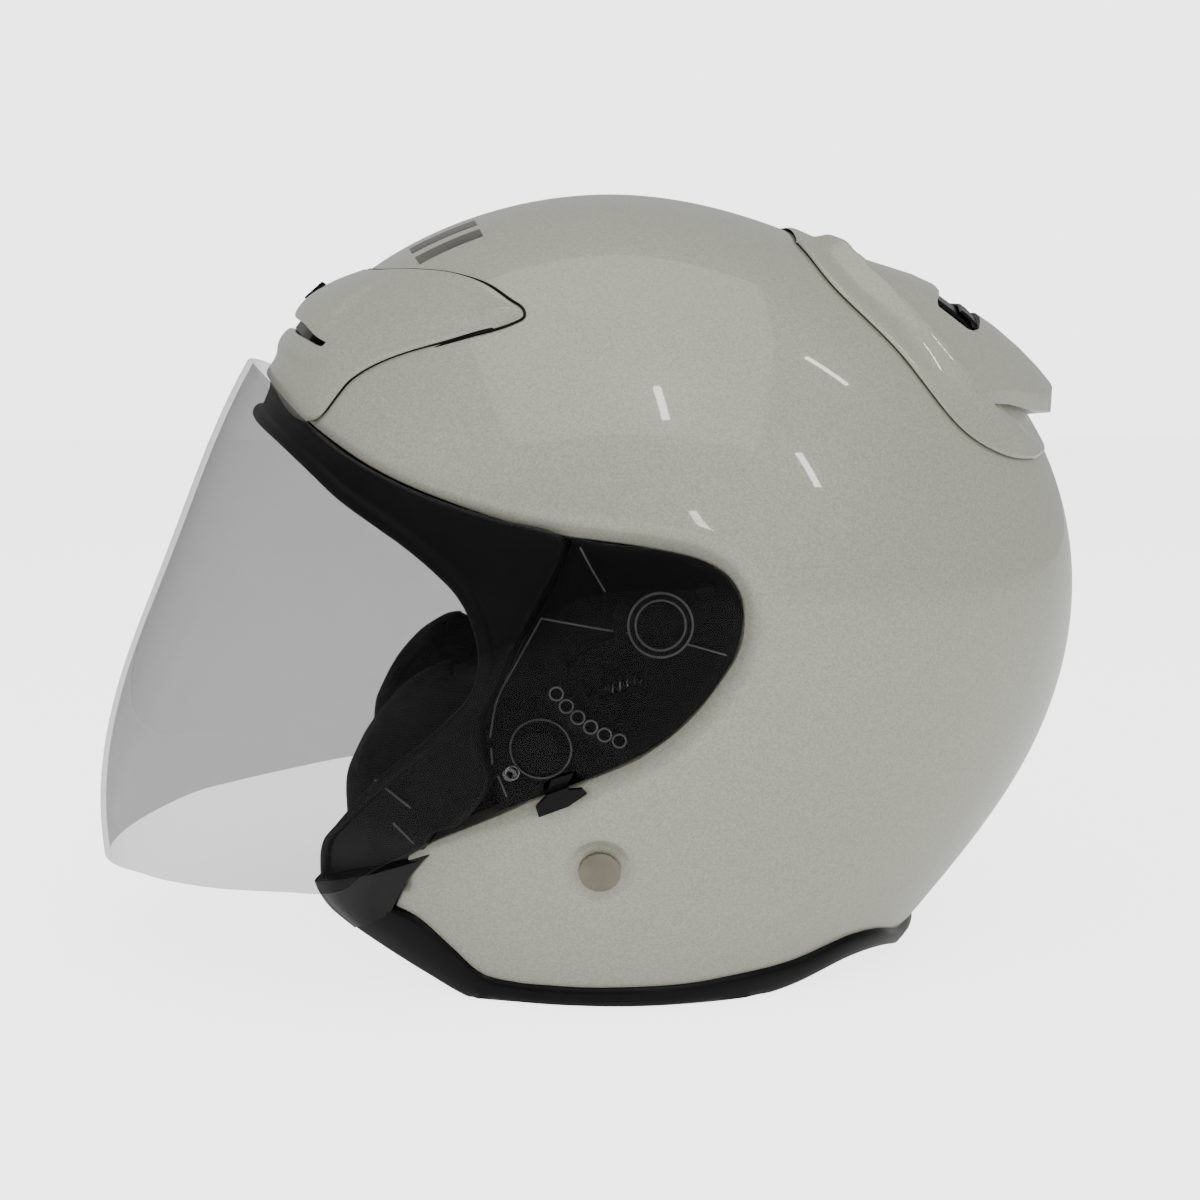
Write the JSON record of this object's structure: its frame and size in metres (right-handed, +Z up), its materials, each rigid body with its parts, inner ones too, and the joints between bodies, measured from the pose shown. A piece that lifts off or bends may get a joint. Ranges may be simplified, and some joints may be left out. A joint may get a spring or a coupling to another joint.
{
  "type": "open face motorcycle helmet",
  "caption": "Open face motorcycle helmet with a long hinged clear shield, brow and rear air vents, padded liner and a strap fastened by rings.",
  "frame": {"origin": "middle of the bounding box in plan, on the surface that the helmet's rim rests on", "axes": "+Z up, -Y the way the wearer faces, +X the wearer's left"},
  "size_m": [0.2536, 0.3363, 0.2513],
  "materials": {
    "shell_paint": "pearl grey clear coat",
    "edge_rubber": "satin black",
    "gloss_black": "gloss black",
    "mechanism_black": "moulded black",
    "clear_shield": "clear with a light smoke tint",
    "spring_steel": "bright wire",
    "screw_steel": "zinc plated",
    "vent_knob": "painted to match the shell",
    "liner_foam": "expanded foam, dark",
    "liner_fabric": "brushed knit",
    "strap_webbing": "woven nylon",
    "ring_steel": "polished steel",
    "rivet_bronze": "antique nickel bronze, satin"
  },
  "bodies": {
    "helmet": {"outer_shell": "shell_paint", "window_beading": "edge_rubber", "bottom_edge_trim": "edge_rubber", "edge_corner_cover_left": "gloss_black", "edge_corner_cover_right": "gloss_black", "base_plate_left": "mechanism_black", "base_plate_right": "mechanism_black", "ratchet_rack_left": "mechanism_black", "ratchet_rack_right": "mechanism_black", "lock_spring_left": "spring_steel", "lock_spring_right": "spring_steel", "base_screw_cap_left": "mechanism_black", "base_screw_cap_right": "mechanism_black", "base_screw_left": "screw_steel", "base_screw_right": "screw_steel", "snap_peg_left": "screw_steel", "snap_peg_right": "screw_steel", "brow_vent_cover": "shell_paint", "brow_vent_duct": "mechanism_black", "exhaust_cover": "shell_paint", "exhaust_grille": "mechanism_black", "foam_liner": "liner_foam", "crown_pad": "liner_fabric", "neck_roll": "liner_fabric", "cheek_pad_left": "liner_fabric", "cheek_pad_right": "liner_fabric", "cheek_foam_left": "liner_foam", "cheek_foam_right": "liner_foam", "strap_rivet_left": "rivet_bronze", "strap_rivet_right": "rivet_bronze"},
    "shield": {"shield_pane": "clear_shield", "pivot_hub_left": "mechanism_black", "pivot_hub_right": "mechanism_black"},
    "lever_left": {"lock_lever_left": "mechanism_black"},
    "lever_right": {"lock_lever_right": "mechanism_black"},
    "trigger_left": {"release_trigger_left": "gloss_black"},
    "trigger_right": {"release_trigger_right": "gloss_black"},
    "brow_slider": {"brow_vent_slider": "vent_knob"},
    "rear_shutter": {"exhaust_shutter": "mechanism_black"},
    "strap": {"strap_anchor_left": "ring_steel", "strap_anchor_right": "ring_steel", "chin_strap_long": "strap_webbing", "chin_strap_short": "strap_webbing", "d_ring_lower": "ring_steel", "d_ring_upper": "ring_steel", "strap_snap": "mechanism_black"}
  },
  "joints": [
    {"name": "shield_hinge", "type": "hinge", "parent": "helmet", "child": "shield", "pos_m": [0, 0.015, 0.1195], "axis": [-1, 0, 0], "range_deg": [0, 57]},
    {"name": "release_trigger_left_slide", "type": "slide", "parent": "helmet", "child": "trigger_left", "axis": [0, 0.5299, 0.848], "range_m": [0, 0.002], "stiffness_N_per_m": 400},
    {"name": "release_trigger_right_slide", "type": "slide", "parent": "helmet", "child": "trigger_right", "axis": [0, 0.5299, 0.848], "range_m": [0, 0.002], "stiffness_N_per_m": 400},
    {"name": "lock_lever_left_turn", "type": "hinge", "parent": "helmet", "child": "lever_left", "pos_m": [0, 0.015, 0.1195], "axis": [-1, 0, 0], "range_deg": [0, 4]},
    {"name": "lock_lever_right_turn", "type": "hinge", "parent": "helmet", "child": "lever_right", "pos_m": [0, 0.015, 0.1195], "axis": [-1, 0, 0], "range_deg": [0, 4]},
    {"name": "brow_vent_slide", "type": "slide", "parent": "helmet", "child": "brow_slider", "axis": [0, 0.7434, 0.6688], "range_m": [0, 0.005]},
    {"name": "exhaust_shutter_slide", "type": "slide", "parent": "helmet", "child": "rear_shutter", "axis": [0, -0.7881, 0.6155], "range_m": [0, 0.005]},
    {"name": "chin_strap_swing", "type": "hinge", "parent": "helmet", "child": "strap", "pos_m": [0, -0.0018, 0.0457], "axis": [-1, 0, 0], "range_deg": [-30, 12]}
  ],
  "couplings": [
    {"joint": "lock_lever_left_turn", "follows": "release_trigger_left_slide", "rad_per_m": 33},
    {"joint": "lock_lever_right_turn", "follows": "release_trigger_right_slide", "rad_per_m": 33}
  ]
}
